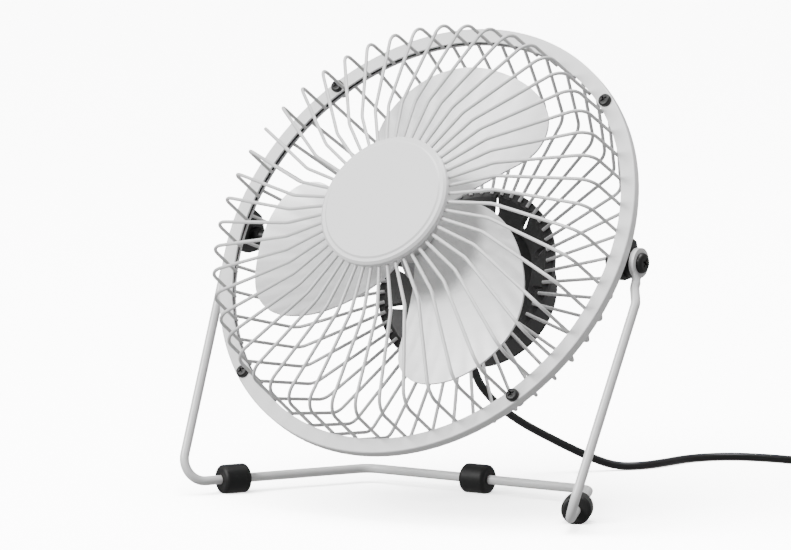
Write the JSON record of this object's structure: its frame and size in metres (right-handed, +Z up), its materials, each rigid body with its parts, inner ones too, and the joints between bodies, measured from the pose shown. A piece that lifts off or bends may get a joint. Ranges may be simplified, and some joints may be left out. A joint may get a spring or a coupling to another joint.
{
  "type": "desk fan",
  "caption": "Wire-guard desk fan whose round head tilts between the arms of a bent-wire stand, with a motor, a metal rotor, a rear switch and a supply lead with a plug.",
  "frame": {"origin": "on the surface the fan stands on, under the middle of the fan's box without its lead", "axes": "+Z up, -Y the way the fan blows, +X to the right of the fan seen from in front, along the tilt axis"},
  "size_m": [0.2646, 0.3118, 0.2029],
  "materials": {
    "white_paint": "satin white powder coat",
    "white_plastic": "satin white",
    "black_rubber": "matt",
    "black_cord": "smooth PVC sheath",
    "black_plastic": "fine grain",
    "dark_grey_plastic": "fine grain",
    "dark_steel": "satin",
    "black_steel": "black oxide",
    "bright_steel": "bright",
    "blade_aluminium": "satin",
    "copper": "satin",
    "white_insulator": "satin"
  },
  "bodies": {
    "stand": {"stand_wire": "white_paint", "foot_left": "black_rubber", "foot_right": "black_rubber", "foot_rear": "black_rubber", "cord_drop": "black_cord", "cord_lead": "black_cord", "cord_coil": "black_cord", "cord_tail": "black_cord", "usb_plug_body": "black_plastic", "usb_plug_shell": "bright_steel", "usb_plug_tongue": "white_insulator"},
    "head": {"front_ring": "white_paint", "ring_gasket": "black_rubber", "rear_ring": "white_paint", "ring_screws": "black_steel", "ring_nuts": "bright_steel", "front_guard_wires": "white_paint", "rear_guard_wires": "white_paint", "front_hub_plate": "white_paint", "front_cap": "white_plastic", "rear_housing": "dark_grey_plastic", "rear_cover": "black_plastic", "rear_cover_screws": "black_steel", "strain_relief": "black_rubber", "switch_body": "black_plastic", "motor_can": "bright_steel", "motor_end_bell": "white_insulator", "motor_magnets": "dark_steel", "front_bearing": "copper", "rear_bearing": "copper", "motor_screws": "bright_steel", "motor_brushes": "copper", "pivot_bracket_left": "dark_steel", "pivot_spacer_left": "black_plastic", "pivot_washer_left": "black_steel", "pivot_nut_left": "black_steel", "pivot_screw_left": "black_steel", "pivot_bracket_right": "dark_steel", "pivot_spacer_right": "black_plastic", "pivot_washer_right": "black_steel", "pivot_nut_right": "black_steel", "pivot_screw_right": "black_steel"},
    "rotor": {"fan_blades": "blade_aluminium", "fan_hub": "blade_aluminium", "hub_retainer": "bright_steel", "motor_shaft": "bright_steel", "motor_armature": "bright_steel", "motor_commutator": "copper"},
    "rocker": {"switch_rocker": "black_plastic"}
  },
  "joints": [
    {"name": "head_tilt", "type": "hinge", "parent": "stand", "child": "head", "pos_m": [0, 0.00655, 0.1087], "axis": [1, 0, 0], "range_deg": [-55, 60], "deforming": ["cord_drop"]},
    {"name": "rotor_spin", "type": "hinge", "parent": "head", "child": "rotor", "pos_m": [0, 0.00655, 0.1087], "axis": [0, -0.8554, 0.518], "continuous": true},
    {"name": "switch_rock", "type": "hinge", "parent": "head", "child": "rocker", "pos_m": [0.012, 0.05533, 0.08617], "axis": [1, 0, 0], "range_deg": [-16, 0]}
  ]
}
